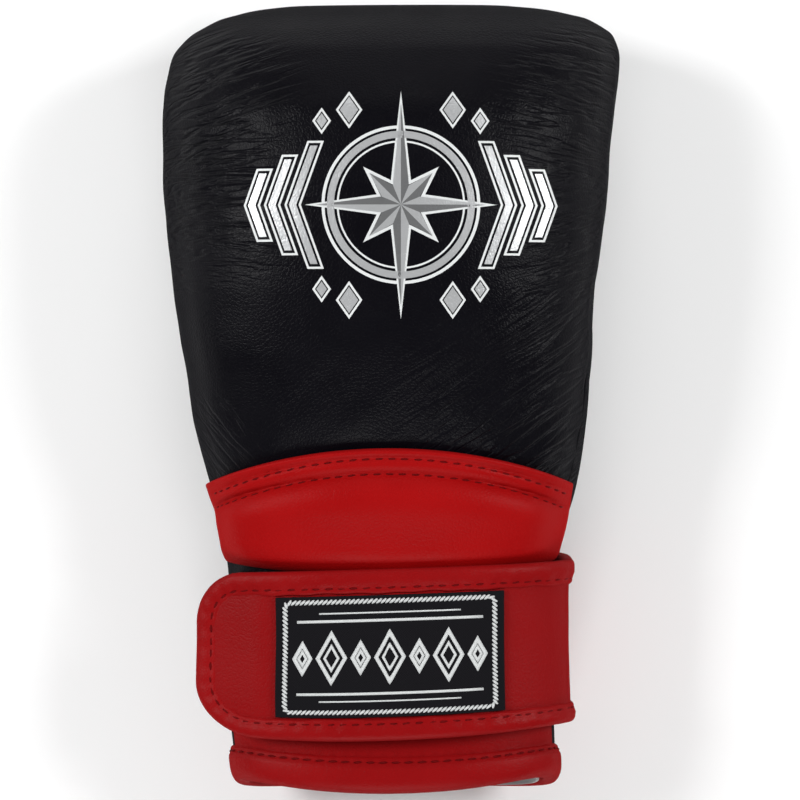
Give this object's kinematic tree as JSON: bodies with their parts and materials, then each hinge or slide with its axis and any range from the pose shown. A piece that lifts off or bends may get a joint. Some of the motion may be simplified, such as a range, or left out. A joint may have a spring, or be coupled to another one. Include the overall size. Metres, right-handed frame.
{
  "type": "bag glove",
  "caption": "Open-thumb bag glove of padded leather with a red wrist panel and a wrapped hook-and-loop cuff strap, lying palm down.",
  "frame": {"origin": "middle of the overall box, on the surface that the glove rests on", "axes": "+Y towards the fingertips, +Z out of the back of the hand, +X towards the thumb side"},
  "size_m": [0.1552, 0.2696, 0.0908],
  "materials": {
    "black_leather": "semi-gloss black leather",
    "red_leather": "semi-gloss red leather",
    "red_binding": "folded red leather binding",
    "black_tape": "black hook-and-loop tape",
    "woven_label": "black and pale woven label",
    "grey_lining": "matt pale grey lining"
  },
  "bodies": {
    "root": {"back_pad": "black_leather", "palm_panel": "black_leather", "thumb_binding": "black_leather", "cuff_base": "black_leather", "wrist_pad": "red_leather", "cuff_panel": "red_leather", "cuff_binding": "red_binding", "cuff_lining": "grey_lining", "loop_tape": "black_tape", "hook_tape": "black_tape", "strap": "red_leather", "strap_binding": "red_binding", "strap_label": "woven_label"}
  },
  "joints": []
}
